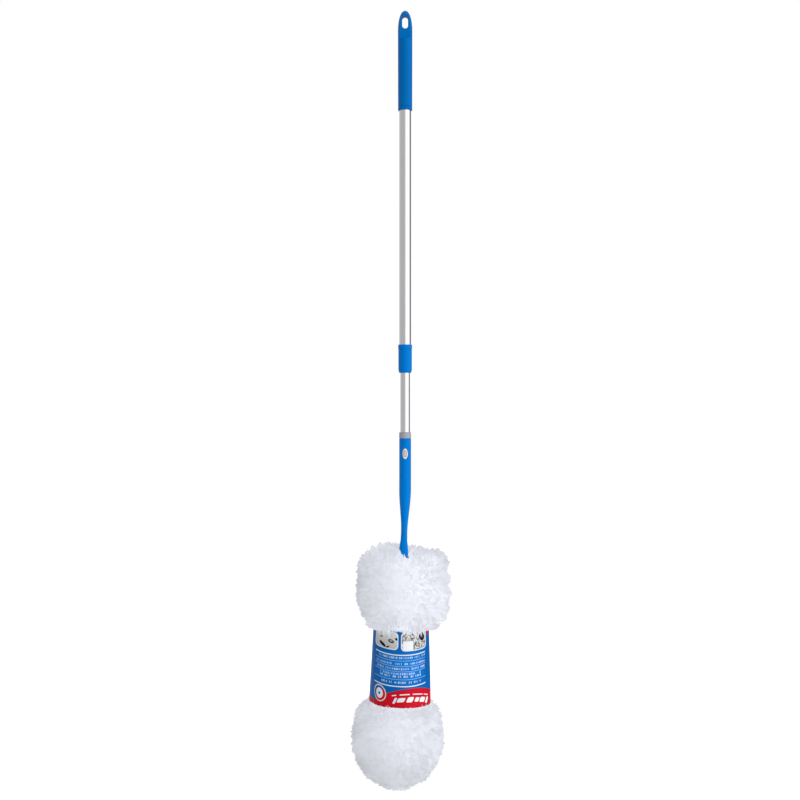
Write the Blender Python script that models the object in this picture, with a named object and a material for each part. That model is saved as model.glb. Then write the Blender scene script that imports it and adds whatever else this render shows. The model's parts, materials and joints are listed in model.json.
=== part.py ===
"""Telescopic duster: a twist-lock pole with a plug-on handle and a pull-off fibre sleeve.

Metres, +Z up the pole, +X to the right, front towards -Y. The origin is the point of the hang
slot that bears on a hook. Heights are negative downwards from there. The head hangs from an
empty that leans it a little to the left, as a bendable core is left after use.
"""

import math

import bmesh
import bpy
from mathutils import Matrix, Vector

# ---- grip ----
GRIP_TOP = 0.0074
GRIP_BOTTOM = -0.1270
GRIP_R = 0.0097
GRIP_END_R = 0.0095
DOME_BASE = -0.0206
DOME_POWER = 2.2
CHEEK_HALF = 0.0064
CHEEK_END = -0.0300
CHEEK_RAMP = 0.0022
SLOT_W = 0.0079
SLOT_H = 0.0178
SLOT_FLARE = 0.0010
GROOVE_Z = -0.1222
GROOVE_DEPTH = 0.0005

# ---- telescopic tubes ----
GAP = 0.0003
OUTER_R = 0.0080
INNER_R = 0.0065
TUBE_WALL = 0.0005
OUTER_TOP = -0.0316
OUTER_END = -0.4731
INNER_TOP = -0.1590
INNER_END = -0.5589

# ---- collar and guide bush ----
COLLAR_TOP = -0.4413
COLLAR_END = -0.4793
COLLAR_R = 0.00908
COLLAR_LIP_R = 0.00935
COLLAR_LIP_H = 0.0064
COLLAR_NOSE = 0.0054
BUSH_TOP = -0.4426

# ---- twist lock ----
PLUG_LENGTH = 0.0180
SPINDLE_R = 0.0030
SPINDLE_TOP = -0.1326
CLIP_Z = -0.1347
CLIP_H = 0.0014
COLLET_R = 0.0073
COLLET_TOP = -0.1361
COLLET_SLIT = 0.0018

# ---- pole adapter and release button ----
FLANGE_R = 0.0080
FLANGE_TOP = -0.5592
FLANGE_END = -0.5671
ADAPTER_TOP = -0.5366
SPIGOT_R = 0.0063
SPIGOT_END = -0.6136
SPIGOT_BORE_R = 0.0048
SPIGOT_BORE_TOP = -0.5716
BUTTON_Z = -0.5876
BEZEL_W = 0.0070
BEZEL_H = 0.0139
BEZEL_FRONT_R = 0.00825
BEZEL_BACK_R = 0.00672
BEZEL_GAP = 0.0004
BUTTON_W = 0.0045
BUTTON_H = 0.0098
BUTTON_FRONT = -0.00840
BUTTON_BASE = -0.0030
SPRING_R = 0.0019
SPRING_WIRE = 0.0005
SPRING_TURNS = 4
SPRING_FRONT = -0.0018
SPRING_BACK = 0.0038

# ---- handle ----
HANDLE_TOP = -0.5674
HANDLE_R = 0.00793
HANDLE_TAPER = -0.6366
SOCKET_R = 0.0066
SOCKET_END = -0.6171
NECK_R = 0.00424
NECK_TOP = -0.6926
NECK_END = -0.6956
FOOT_TOP = -0.7256
FOOT_HALF_X = 0.0065
FOOT_HALF_Y = 0.0040
HANDLE_END = -0.7436

# ---- lean of the head ----
LEAN_DEG = 1.8
PIVOT_Z = -0.6516
BEND_HALF = 0.0320

# ---- bendable core ----
STRIP_W = 0.0090
STRIP_T = 0.0016
STRIP_TOP = -0.7296
STRIP_END = -1.0196
SHEATH_HALF = (0.0110, 0.0045)
SHEATH_END = -1.0216
CAP_END = -1.0256

# ---- fibre sleeve ----
LINING_IN = (0.0116, 0.0052)
LINING_OUT = (0.0128, 0.0064)
LINING_TOP = -0.7350
LINING_END = -1.0316
BAND_TOP = -0.7270
BAND_OUT = (0.0136, 0.0076)
PILE_R = 0.0615
PILE_TOP = -0.7106
PILE_END = -1.0440
SKIRT_Z = -0.8261

# ---- card label sleeve ----
LABEL_TOP = -0.8136
LABEL_END = -0.9196
LABEL_TOP_R = 0.0366
LABEL_END_R = 0.0410
LABEL_T = 0.0005

SEGMENTS = 36
FINE_SEGMENTS = 56
PILE_SEGMENTS = 30


def clear_scene():
    for old in list(bpy.data.objects):
        bpy.data.objects.remove(old, do_unlink=True)


def material(name, colour, roughness, metallic=0.0):
    made = bpy.data.materials.new(name)
    made.use_nodes = True
    shader = made.node_tree.nodes["Principled BSDF"]
    shader.inputs["Base Color"].default_value = (*colour, 1.0)
    shader.inputs["Roughness"].default_value = roughness
    shader.inputs["Metallic"].default_value = metallic
    made.diffuse_color = (*colour, 1.0)
    return made


def add_object(name, bm, surface, parent=None):
    """Turn a bmesh into a named, smooth-shaded object."""
    bmesh.ops.recalc_face_normals(bm, faces=bm.faces)
    mesh = bpy.data.meshes.new(name)
    bm.to_mesh(mesh)
    bm.free()
    mesh.shade_smooth()
    mesh.set_sharp_from_angle(angle=math.radians(35))
    if surface:
        mesh.materials.append(surface)
    made = bpy.data.objects.new(name, mesh)
    bpy.context.collection.objects.link(made)
    made.parent = parent
    return made


def ring_points(half_x, half_y, z, centre_x=0.0, segments=SEGMENTS):
    steps = [2 * math.pi * i / segments for i in range(segments)]
    return [Vector((centre_x + half_x * math.cos(a), half_y * math.sin(a), z)) for a in steps]


def bridge(bm, lower, upper):
    """Faces between two rings; a ring of one vertex is a pole on the axis."""
    count = max(len(lower), len(upper))
    for i in range(count):
        j = (i + 1) % count
        if len(lower) == 1:
            bm.faces.new((lower[0], upper[i], upper[j]))
        elif len(upper) == 1:
            bm.faces.new((lower[i], lower[j], upper[0]))
        else:
            bm.faces.new((lower[i], lower[j], upper[j], upper[i]))


def turned(profile, closed=True, segments=SEGMENTS, centre=None):
    """Turn a profile of (half_x, half_y, z) about Z.

    A closed profile makes a ring with a hole; an open one starts and ends on the axis. The
    centre function gives the axis's own sideways place at each height, for a bent piece.
    """
    bm = bmesh.new()
    rings = []
    for half_x, half_y, z in profile:
        middle = centre(z) if centre else 0.0
        if half_x == 0:
            rings.append([bm.verts.new((middle, 0, z))])
        else:
            points = ring_points(half_x, half_y, z, middle, segments)
            rings.append([bm.verts.new(p) for p in points])
    for lower, upper in zip(rings, rings[1:]):
        bridge(bm, lower, upper)
    if closed:
        bridge(bm, rings[-1], rings[0])
    return bm


def round_profile(points):
    return [(r, r, z) for r, z in points]


def tube_profile(outer, inner, top, bottom, edge=0.0):
    """A plain sleeve whose four rims have a small chamfer."""
    return [
        (inner[0] + edge, inner[1] + edge, top),
        (outer[0] - edge, outer[1] - edge, top),
        (outer[0], outer[1], top - edge),
        (outer[0], outer[1], bottom + edge),
        (outer[0] - edge, outer[1] - edge, bottom),
        (inner[0] + edge, inner[1] + edge, bottom),
        (inner[0], inner[1], bottom + edge),
        (inner[0], inner[1], top - edge),
    ]


def prism(outline, start, end):
    """Extrude an (x, z) outline from one y to another."""
    bm = bmesh.new()
    near = [bm.verts.new((x, start, z)) for x, z in outline]
    far = [bm.verts.new((x, end, z)) for x, z in outline]
    bridge(bm, near, far)
    bm.faces.new(near)
    bm.faces.new(far)
    return bm


def oval(width, height, centre_z, count=32):
    steps = [2 * math.pi * i / count for i in range(count)]
    return [(width / 2 * math.cos(a), centre_z + height / 2 * math.sin(a)) for a in steps]


def stadium(width, height, centre_z, count=12):
    """A slot outline: straight sides and half-round ends."""
    radius = width / 2
    straight = height / 2 - radius
    points = []
    for side in (1, -1):
        for i in range(count + 1):
            a = math.pi * i / count
            x = side * radius * math.cos(a)
            points.append((x, centre_z + side * (straight + radius * math.sin(a))))
    return points


def box(half_x, half_y, top, bottom, edge=0.0):
    """A bar centred on the axis, with its long edges chamfered."""
    if edge:
        corners = [
            (half_x - edge, half_y), (-half_x + edge, half_y), (-half_x, half_y - edge),
            (-half_x, -half_y + edge), (-half_x + edge, -half_y), (half_x - edge, -half_y),
            (half_x, -half_y + edge), (half_x, half_y - edge),
        ]
    else:
        corners = [(half_x, half_y), (-half_x, half_y), (-half_x, -half_y), (half_x, -half_y)]
    bm = bmesh.new()
    upper = [bm.verts.new((x, y, top)) for x, y in corners]
    lower = [bm.verts.new((x, y, bottom)) for x, y in corners]
    bridge(bm, lower, upper)
    bm.faces.new(upper)
    bm.faces.new(lower)
    return bm


def cutter(name, bm, parent=None):
    tool = add_object(name, bm, None, parent)
    tool.hide_render = True
    tool.display_type = "WIRE"
    return tool


def combine(target, tool, operation="DIFFERENCE"):
    step = target.modifiers.new(tool.name, "BOOLEAN")
    step.operation = operation
    step.solver = "EXACT"
    step.object = tool
    return target


def smoothstep(start, end, value):
    t = min(max((value - start) / (end - start), 0.0), 1.0)
    return t * t * (3 - 2 * t)


def spread(start, end, count):
    return [start + (end - start) * i / count for i in range(count + 1)]


def from_pivot(z):
    """A pole height, as the leaning head's frame counts it."""
    return z - PIVOT_Z


def joint_frame(name, place, parent=None):
    """An empty on a joint's axis, which carries the pieces that move together."""
    frame = bpy.data.objects.new(name, None)
    bpy.context.collection.objects.link(frame)
    frame.parent = parent
    frame.location = place
    return frame


# ---- grip and outer tube ----


def dome_radius(z):
    rise = max(z - DOME_BASE, 0.0) / (GRIP_TOP - DOME_BASE)
    return GRIP_R * max(1 - rise**DOME_POWER, 0.0) ** (1 / DOME_POWER)


def grip_profile():
    dome = [GRIP_TOP - (GRIP_TOP - DOME_BASE) * (i / 10) ** 2 for i in range(1, 11)]
    outside = [(0.0, GRIP_TOP)] + [(dome_radius(z), z) for z in dome]
    groove = [
        (GRIP_END_R, GROOVE_Z + 0.0008),
        (GRIP_END_R - GROOVE_DEPTH, GROOVE_Z + 0.0003),
        (GRIP_END_R - GROOVE_DEPTH, GROOVE_Z - 0.0003),
        (GRIP_END_R + 0.0001, GROOVE_Z - 0.0008),
        (GRIP_END_R + 0.0001, GRIP_BOTTOM + 0.0012),
        (GRIP_END_R - 0.0004, GRIP_BOTTOM + 0.0003),
        (GRIP_END_R - 0.0010, GRIP_BOTTOM),
    ]
    bore = [
        (OUTER_R + GAP, GRIP_BOTTOM),
        (OUTER_R + GAP, OUTER_TOP + GAP),
        (0.0, OUTER_TOP + GAP),
    ]
    return round_profile(outside + groove + bore)


def cheek_cutter(side):
    """Takes one side of the grip's tip down to a flat cheek that ends in a short ramp."""
    reach = 2 * GRIP_R
    outline = [
        (CHEEK_HALF, GRIP_TOP + 0.002),
        (CHEEK_HALF, CHEEK_END),
        (reach, CHEEK_END - CHEEK_RAMP * (reach - CHEEK_HALF) / (GRIP_R - CHEEK_HALF)),
        (reach, GRIP_TOP + 0.002),
    ]
    bm = prism(outline, -2 * GRIP_R, 2 * GRIP_R)
    turn = Matrix.Rotation(math.radians(90 * side), 4, "Z")
    bmesh.ops.transform(bm, matrix=turn, verts=bm.verts)
    return cutter(f"cut_cheek_{'front' if side < 0 else 'back'}", bm)


def slot_cutter():
    """The hang slot, flared where it meets both cheeks."""
    middle = -SLOT_H / 2
    levels = [
        (-CHEEK_HALF - 0.001, SLOT_FLARE + 0.001),
        (-CHEEK_HALF + SLOT_FLARE, 0.0),
        (CHEEK_HALF - SLOT_FLARE, 0.0),
        (CHEEK_HALF + 0.001, SLOT_FLARE + 0.001),
    ]
    bm = bmesh.new()
    rings = []
    for y, grow in levels:
        outline = stadium(SLOT_W + 2 * grow, SLOT_H + 2 * grow, middle)
        rings.append([bm.verts.new((x, y, z)) for x, z in outline])
    for near, far in zip(rings, rings[1:]):
        bridge(bm, near, far)
    bm.faces.new(rings[0])
    bm.faces.new(rings[-1])
    return cutter("cut_hang_slot", bm)


def make_grip(surface):
    grip = add_object("hanging_grip", turned(grip_profile(), closed=False, segments=FINE_SEGMENTS), surface)
    for side in (-1, 1):
        combine(grip, cheek_cutter(side))
    combine(grip, slot_cutter())


def make_tube(name, radius, top, bottom, surface, parent=None):
    inner = radius - TUBE_WALL
    profile = tube_profile((radius, radius), (inner, inner), top, bottom, edge=0.00008)
    return add_object(name, turned(profile, segments=FINE_SEGMENTS), surface, parent)


def make_collar(surface):
    nose = []
    for i in range(1, 6):
        a = math.pi / 2 * i / 5
        shrink = 0.0019 * (1 - math.cos(a))
        nose.append((COLLAR_R - shrink, COLLAR_END + COLLAR_NOSE * (1 - math.sin(a))))
    lip_end = COLLAR_TOP - COLLAR_LIP_H
    profile = [
        (OUTER_R + GAP, COLLAR_TOP),
        (COLLAR_LIP_R - 0.0006, COLLAR_TOP),
        (COLLAR_LIP_R, COLLAR_TOP - 0.0006),
        (COLLAR_LIP_R, lip_end + 0.0003),
        (COLLAR_R - 0.0002, lip_end),
        (COLLAR_R, lip_end - 0.0006),
        (COLLAR_R, COLLAR_END + COLLAR_NOSE),
        *nose,
        (INNER_R + GAP, COLLAR_END),
        (INNER_R + GAP, OUTER_END - 0.0015),
        (OUTER_R + GAP, OUTER_END - 0.0015),
    ]
    collar = turned(round_profile(profile), segments=FINE_SEGMENTS)
    add_object("tube_collar", collar, surface)


def make_bush(surface):
    """Flanged bush between the two tubes, trapped by the collar below the outer tube's end."""
    bore = INNER_R + 0.00025
    outside = OUTER_R - TUBE_WALL - 0.0002
    profile = [
        (bore, BUSH_TOP),
        (outside, BUSH_TOP),
        (outside, OUTER_END - GAP),
        (OUTER_R, OUTER_END - GAP),
        (OUTER_R, OUTER_END - 0.0012),
        (bore, OUTER_END - 0.0012),
    ]
    add_object("guide_bush", turned(round_profile(profile)), surface)


# ---- twist lock, on the axis at the inner tube's top ----


def make_lock_plug(surface, parent):
    """Plug pressed into the inner tube, with the spindle that the split collet rides on."""
    plug_r = INNER_R - TUBE_WALL - GAP
    seat = INNER_TOP + GAP
    profile = [
        (0.0, SPINDLE_TOP),
        (SPINDLE_R - 0.0005, SPINDLE_TOP),
        (SPINDLE_R, SPINDLE_TOP - 0.0005),
        (SPINDLE_R, CLIP_Z + CLIP_H / 2 + 0.0001),
        (SPINDLE_R - 0.0006, CLIP_Z + CLIP_H / 2 + 0.0001),
        (SPINDLE_R - 0.0006, CLIP_Z - CLIP_H / 2 - 0.0001),
        (SPINDLE_R, CLIP_Z - CLIP_H / 2 - 0.0001),
        (SPINDLE_R, seat + 0.0025),
        (INNER_R - 0.0001, seat + 0.0025),
        (INNER_R - 0.0001, seat),
        (plug_r, seat),
        (plug_r, INNER_TOP - PLUG_LENGTH),
        (plug_r - 0.0010, INNER_TOP - PLUG_LENGTH - 0.0015),
        (0.0, INNER_TOP - PLUG_LENGTH - 0.0015),
    ]
    add_object("lock_plug", turned(round_profile(profile), closed=False), surface, parent)


def make_collet(surface, parent):
    """Split sleeve that the spindle spreads against the outer tube's wall."""
    bottom = INNER_TOP + GAP + 0.0025 + GAP
    bore = SPINDLE_R + GAP
    middle = (bottom + COLLET_TOP) / 2
    profile = [
        (bore, COLLET_TOP),
        (COLLET_R - 0.0008, COLLET_TOP),
        (COLLET_R, COLLET_TOP - 0.0010),
        (COLLET_R, middle + 0.0012),
        (COLLET_R - 0.0005, middle + 0.0007),
        (COLLET_R - 0.0005, middle - 0.0007),
        (COLLET_R, middle - 0.0012),
        (COLLET_R, bottom + 0.0010),
        (COLLET_R - 0.0008, bottom),
        (bore, bottom),
    ]
    collet = add_object("lock_collet", turned(round_profile(profile)), surface, parent)
    half = COLLET_SLIT / 2
    slit = [(0.0, bottom - 0.001), (0.010, bottom - 0.001), (0.010, COLLET_TOP + 0.001),
            (0.0, COLLET_TOP + 0.001)]
    combine(collet, cutter("cut_collet_slit", prism(slit, -half, half), parent))


def make_clip(surface, parent):
    """Open retaining clip in the spindle's groove, above the collet."""
    inside = SPINDLE_R - 0.0006 + GAP
    profile = tube_profile((0.0052, 0.0052), (inside, inside), CLIP_Z + CLIP_H / 2,
                           CLIP_Z - CLIP_H / 2)
    clip = add_object("retaining_clip", turned(profile[1:3] + profile[4:6]), surface, parent)
    mouth = [(0.0, CLIP_Z - 0.002), (0.008, CLIP_Z - 0.002), (0.008, CLIP_Z + 0.002),
             (0.0, CLIP_Z + 0.002)]
    combine(clip, cutter("cut_clip_mouth", prism(mouth, -0.0013, 0.0013), parent))


# ---- adapter, release button and handle ----


def make_adapter(surface, parent):
    """Grey adapter: a plug up into the inner tube, a flange, and a spigot down into the handle."""
    plug_r = INNER_R - TUBE_WALL - GAP
    profile = [
        (0.0042, ADAPTER_TOP),
        (plug_r - 0.0005, ADAPTER_TOP),
        (plug_r, ADAPTER_TOP - 0.0008),
        (plug_r, FLANGE_TOP),
        (FLANGE_R - 0.0003, FLANGE_TOP),
        (FLANGE_R, FLANGE_TOP - 0.0003),
        (FLANGE_R, FLANGE_END + 0.0003),
        (FLANGE_R - 0.0003, FLANGE_END),
        (SPIGOT_R, FLANGE_END),
        (SPIGOT_R, SPIGOT_END + 0.0010),
        (SPIGOT_R - 0.0008, SPIGOT_END),
        (SPIGOT_BORE_R, SPIGOT_END),
        (SPIGOT_BORE_R, SPIGOT_BORE_TOP),
        (0.0042, SPIGOT_BORE_TOP),
    ]
    body = turned(round_profile(profile), segments=FINE_SEGMENTS)
    adapter = add_object("pole_adapter", body, surface, parent)
    window = prism(oval(BUTTON_W + 2 * GAP, BUTTON_H + 2 * GAP, BUTTON_Z), -0.010, -0.002)
    combine(adapter, cutter("cut_spigot_window", window, parent))


def make_button(surface, parent):
    """Oval button with a wider base that stays behind the spigot's wall."""
    levels = [
        (BUTTON_FRONT, -0.0012),
        (BUTTON_FRONT + 0.0002, -0.0004),
        (BUTTON_FRONT + 0.0006, 0.0),
        (BUTTON_BASE - 0.0006, 0.0),
        (BUTTON_BASE - 0.0006, 0.0012),
        (BUTTON_BASE + 0.0006, 0.0012),
    ]
    bm = bmesh.new()
    rings = []
    for y, grow in levels:
        outline = oval(BUTTON_W + grow, BUTTON_H + grow, BUTTON_Z)
        rings.append([bm.verts.new((x, y, z)) for x, z in outline])
    for near, far in zip(rings, rings[1:]):
        bridge(bm, near, far)
    bm.faces.new(rings[0])
    bm.faces.new(rings[-1])
    add_object("snap_button", bm, surface, parent)


def make_spring(surface, parent):
    """Compression spring behind the button, along Y."""
    curve = bpy.data.curves.new("button_spring", "CURVE")
    curve.dimensions = "3D"
    curve.bevel_depth = SPRING_WIRE / 2
    curve.bevel_resolution = 1
    curve.use_fill_caps = True
    count = SPRING_TURNS * 12
    line = curve.splines.new("POLY")
    line.points.add(count)
    for i, point in enumerate(line.points):
        a = 2 * math.pi * SPRING_TURNS * i / count
        y = SPRING_FRONT + (SPRING_BACK - SPRING_FRONT) * i / count
        point.co = (SPRING_R * math.cos(a), y, BUTTON_Z + SPRING_R * math.sin(a), 1.0)
    curve.materials.append(surface)
    spring = bpy.data.objects.new("button_spring", curve)
    bpy.context.collection.objects.link(spring)
    spring.parent = parent


def make_bezel(surface, parent):
    """Oval rim round the button, curved to the handle's surface."""
    shell = tube_profile((BEZEL_FRONT_R, BEZEL_FRONT_R), (BEZEL_BACK_R, BEZEL_BACK_R),
                         BUTTON_Z + 0.010, BUTTON_Z - 0.010)
    rim = turned(shell[1:3] + shell[4:6], segments=64)
    bezel = add_object("button_bezel", rim, surface, parent)
    outside = prism(oval(BEZEL_W, BEZEL_H, BUTTON_Z), -0.012, -0.001)
    combine(bezel, cutter("keep_bezel_oval", outside, parent), "INTERSECT")
    inside = prism(oval(BUTTON_W + 2 * GAP, BUTTON_H + 2 * GAP, BUTTON_Z), -0.013, 0.0)
    combine(bezel, cutter("cut_bezel_hole", inside, parent))


def bend_centre(z):
    """Sideways place of the handle's axis: straight, a soft bend, then the head's lean."""
    drop = PIVOT_Z - z
    if drop <= -BEND_HALF:
        return 0.0
    if drop < BEND_HALF:
        drop = (drop + BEND_HALF) ** 2 / (4 * BEND_HALF)
    return -drop * math.tan(math.radians(LEAN_DEG))


def handle_halves(z):
    """Half-widths along X and Y of the handle's outside at a height."""
    slim = smoothstep(HANDLE_TAPER, NECK_TOP, z)
    flare = smoothstep(NECK_END, FOOT_TOP, z)
    radius = HANDLE_R + (NECK_R - HANDLE_R) * slim
    half_x = radius + (FOOT_HALF_X - NECK_R) * flare
    half_y = radius + (FOOT_HALF_Y - NECK_R) * flare
    return half_x, half_y


def make_handle(surface, parent, head):
    heights = [HANDLE_TOP - 0.0004]
    heights += spread(HANDLE_TAPER + 0.035, HANDLE_TAPER, 2)
    heights += spread(HANDLE_TAPER, NECK_TOP, 10)[1:]
    heights += spread(NECK_END, FOOT_TOP, 6)
    heights += [HANDLE_END + 0.0010]
    tip_x, tip_y = handle_halves(HANDLE_END)
    profile = [
        (SOCKET_R + 0.0004, SOCKET_R + 0.0004, HANDLE_TOP),
        (HANDLE_R - 0.0004, HANDLE_R - 0.0004, HANDLE_TOP),
        *[(*handle_halves(z), z) for z in heights],
        (tip_x - 0.0010, tip_y - 0.0010, HANDLE_END),
        (0.0, 0.0, HANDLE_END),
    ]
    socket = [
        (0.0, 0.0, SOCKET_END),
        (SOCKET_R, SOCKET_R, SOCKET_END),
        (SOCKET_R, SOCKET_R, HANDLE_TOP - 0.0004),
    ]
    outline = socket + profile
    shell = turned(outline, closed=False, segments=FINE_SEGMENTS, centre=bend_centre)
    handle = add_object("handle_shell", shell, surface, parent)
    window = prism(oval(BEZEL_W + 2 * BEZEL_GAP, BEZEL_H + 2 * BEZEL_GAP, BUTTON_Z), -0.012, -0.002)
    combine(handle, cutter("cut_handle_window", window, parent))
    slot_top = from_pivot(STRIP_TOP) + GAP
    slot = box(STRIP_W / 2 + GAP, STRIP_T / 2 + GAP, slot_top, from_pivot(HANDLE_END) - 0.002)
    combine(handle, cutter("cut_strip_slot", slot, head))


# ---- leaning head; its pieces use heights measured from the pivot ----


def make_head_frame(parent):
    frame = joint_frame("head_frame", (0.0, 0.0, PIVOT_Z), parent)
    frame.rotation_euler.y = math.radians(LEAN_DEG)
    return frame


def make_strip(surface, head):
    bar = box(STRIP_W / 2, STRIP_T / 2, from_pivot(STRIP_TOP), from_pivot(STRIP_END), edge=0.0003)
    add_object("core_strip", bar, surface, head)


def make_sheath(surface, head):
    """Flat oval sheath over the strip, open at both ends of its slot."""
    half_x, half_y = SHEATH_HALF
    top = HANDLE_END - GAP
    profile = [
        (0.0, 0.0, from_pivot(top)),
        (half_x - 0.0012, half_y - 0.0012, from_pivot(top)),
        (half_x, half_y, from_pivot(top - 0.0012)),
        (half_x, half_y, from_pivot(SHEATH_END)),
        (0.0, 0.0, from_pivot(SHEATH_END)),
    ]
    sheath = add_object("core_sheath", turned(profile, closed=False, segments=32), surface, head)
    slot_end = from_pivot(SHEATH_END) - 0.001
    slot = box(STRIP_W / 2 + GAP, STRIP_T / 2 + GAP, from_pivot(top) + 0.001, slot_end)
    combine(sheath, cutter("cut_sheath_slot", slot, head))


def make_tip_cap(surface, head):
    half_x, half_y = SHEATH_HALF
    top = SHEATH_END - GAP
    profile = [
        (0.0, 0.0, from_pivot(top)),
        (half_x, half_y, from_pivot(top)),
        (half_x, half_y, from_pivot(top - 0.0012)),
        (half_x - 0.0012, half_y - 0.0010, from_pivot(CAP_END + 0.0006)),
        (half_x - 0.0030, half_y - 0.0024, from_pivot(CAP_END)),
        (0.0, 0.0, from_pivot(CAP_END)),
    ]
    add_object("sheath_tip_cap", turned(profile, closed=False, segments=32), surface, head)


def make_lining(surface, head):
    """Fabric pocket that slips over the sheath; the fibre rows are sewn to it."""
    profile = [
        (0.0, 0.0, from_pivot(LINING_END + 0.0012)),
        (LINING_IN[0] - 0.003, LINING_IN[1] - 0.003, from_pivot(LINING_END + 0.0012)),
        (*LINING_IN, from_pivot(LINING_END + 0.0042)),
        (*LINING_IN, from_pivot(LINING_TOP)),
        (*LINING_OUT, from_pivot(LINING_TOP)),
        (*LINING_OUT, from_pivot(LINING_END + 0.0036)),
        (LINING_OUT[0] - 0.003, LINING_OUT[1] - 0.003, from_pivot(LINING_END)),
        (0.0, 0.0, from_pivot(LINING_END)),
    ]
    add_object("lining_sleeve", turned(profile, closed=False, segments=32), surface, head)


def make_mouth_band(surface, head):
    bore = (LINING_IN[0], LINING_IN[1] + 0.0002)
    ring = tube_profile(BAND_OUT, bore, from_pivot(BAND_TOP), from_pivot(LINING_TOP + GAP), edge=0.0006)
    add_object("mouth_band", turned(ring, segments=32), surface, head)


def make_pile(name, outside, hole, top, bottom, surface, head):
    """A body of fibre round the lining: a hole down the middle and a rounded outside."""
    inner = [(*hole, from_pivot(bottom)), (*hole, from_pivot(top))]
    outer = [(r, r, from_pivot(z)) for r, z in outside]
    add_object(name, turned(inner + outer, segments=PILE_SEGMENTS), surface, head)


def make_piles(surface, head):
    wide_hole = (BAND_OUT[0] + GAP, BAND_OUT[1] + GAP)
    hole = (LINING_OUT[0] + GAP, LINING_OUT[1] + GAP)
    shoulder = LABEL_TOP + 2 * GAP
    skirt_in = LABEL_TOP_R + LABEL_T + 0.0018
    upper = [
        (0.0310, PILE_TOP + 0.0004),
        (0.0470, PILE_TOP - 0.0035),
        (0.0565, PILE_TOP - 0.0120),
        (0.0605, PILE_TOP - 0.0250),
        (PILE_R, PILE_TOP - 0.0420),
        (PILE_R, PILE_TOP - 0.0690),
        (0.0600, PILE_TOP - 0.0840),
        (0.0565, PILE_TOP - 0.0980),
        (0.0495, SKIRT_Z + 0.0065),
        (0.0415, SKIRT_Z),
        (skirt_in, SKIRT_Z + 0.0010),
        (skirt_in, shoulder),
    ]
    make_pile("pile_upper", upper, wide_hole, PILE_TOP, shoulder, surface, head)
    waist = [
        (LABEL_TOP_R - GAP, LABEL_TOP),
        (LABEL_END_R - GAP, LABEL_END),
    ]
    make_pile("pile_waist", waist, hole, LABEL_TOP, LABEL_END, surface, head)
    make_lower_pile(hole, surface, head)


def make_lower_pile(hole, surface, head):
    """The bottom tuft is closed under the lining's end."""
    top = LABEL_END - 2 * GAP
    floor = LINING_END - GAP
    profile = [
        (0.0, 0.0, from_pivot(floor)),
        (*hole, from_pivot(floor)),
        (*hole, from_pivot(top)),
        *[(r, r, from_pivot(z)) for r, z in [
            (0.0450, top),
            (0.0525, top - 0.0070),
            (0.0580, top - 0.0200),
            (0.0608, top - 0.0360),
            (PILE_R, top - 0.0500),
            (0.0598, top - 0.0650),
            (0.0548, top - 0.0800),
            (0.0465, top - 0.0950),
            (0.0365, top - 0.1070),
            (0.0235, top - 0.1170),
            (0.0090, PILE_END + 0.0006),
        ]],
        (0.0, 0.0, from_pivot(PILE_END)),
    ]
    add_object("pile_lower", turned(profile, closed=False, segments=PILE_SEGMENTS), surface, head)


def make_label(surface, head):
    """Printed card sleeve round the waist, a little wider at its lower edge."""
    profile = [
        (LABEL_TOP_R, LABEL_TOP),
        (LABEL_TOP_R + LABEL_T, LABEL_TOP),
        (LABEL_END_R + LABEL_T, LABEL_END),
        (LABEL_END_R, LABEL_END),
    ]
    rings = [(r, r, from_pivot(z)) for r, z in profile]
    add_object("label_sleeve", turned(rings, segments=48), surface, head)


def main():
    clear_scene()
    blue = material("grip_blue", (0.004, 0.130, 0.430), 0.38)
    bright_blue = material("handle_blue", (0.005, 0.190, 0.650), 0.35)
    aluminium = material("anodised_aluminium", (0.80, 0.81, 0.83), 0.30, 1.0)
    grey = material("adapter_grey", (0.37, 0.39, 0.45), 0.45)
    light_grey = material("bezel_white", (0.75, 0.75, 0.76), 0.40)
    tan = material("button_tan", (0.45, 0.42, 0.37), 0.45)
    nylon = material("nylon_white", (0.80, 0.80, 0.78), 0.50)
    steel = material("spring_steel", (0.60, 0.60, 0.60), 0.30, 1.0)
    cloth = material("lining_cloth", (0.82, 0.84, 0.88), 0.90)
    fibre = material("microfibre", (0.88, 0.90, 0.95), 0.95)
    card = material("label_card", (0.010, 0.150, 0.480), 0.45)

    make_grip(blue)
    make_tube("outer_tube", OUTER_R, OUTER_TOP, OUTER_END, aluminium)
    make_collar(bright_blue)
    make_bush(nylon)

    slide = joint_frame("telescope_axis", (0.0, 0.0, 0.0))
    make_collet(nylon, slide)
    twist = joint_frame("twist_axis", (0.0, 0.0, 0.0), slide)
    make_lock_plug(nylon, twist)
    make_clip(steel, twist)
    make_tube("inner_tube", INNER_R, INNER_TOP, INNER_END, aluminium, twist)
    make_adapter(grey, twist)
    make_spring(steel, twist)
    press = joint_frame("button_axis", (0.0, 0.0, 0.0), twist)
    make_button(tan, press)

    head = make_head_frame(twist)
    make_handle(bright_blue, twist, head)
    make_bezel(light_grey, twist)
    make_strip(steel, head)
    make_sheath(nylon, head)
    make_tip_cap(nylon, head)

    sleeve = joint_frame("sleeve_axis", (0.0, 0.0, 0.0), head)
    make_lining(cloth, sleeve)
    make_mouth_band(cloth, sleeve)
    make_piles(fibre, sleeve)
    make_label(card, sleeve)


main()
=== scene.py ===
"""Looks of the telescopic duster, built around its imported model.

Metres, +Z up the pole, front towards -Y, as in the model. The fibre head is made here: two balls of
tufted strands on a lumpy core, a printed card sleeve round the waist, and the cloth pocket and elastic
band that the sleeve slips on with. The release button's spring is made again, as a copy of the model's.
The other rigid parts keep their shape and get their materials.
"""

import json
import math
from collections import namedtuple

import bmesh
import bpy
import numpy as np
from mathutils import Matrix, Vector

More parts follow.
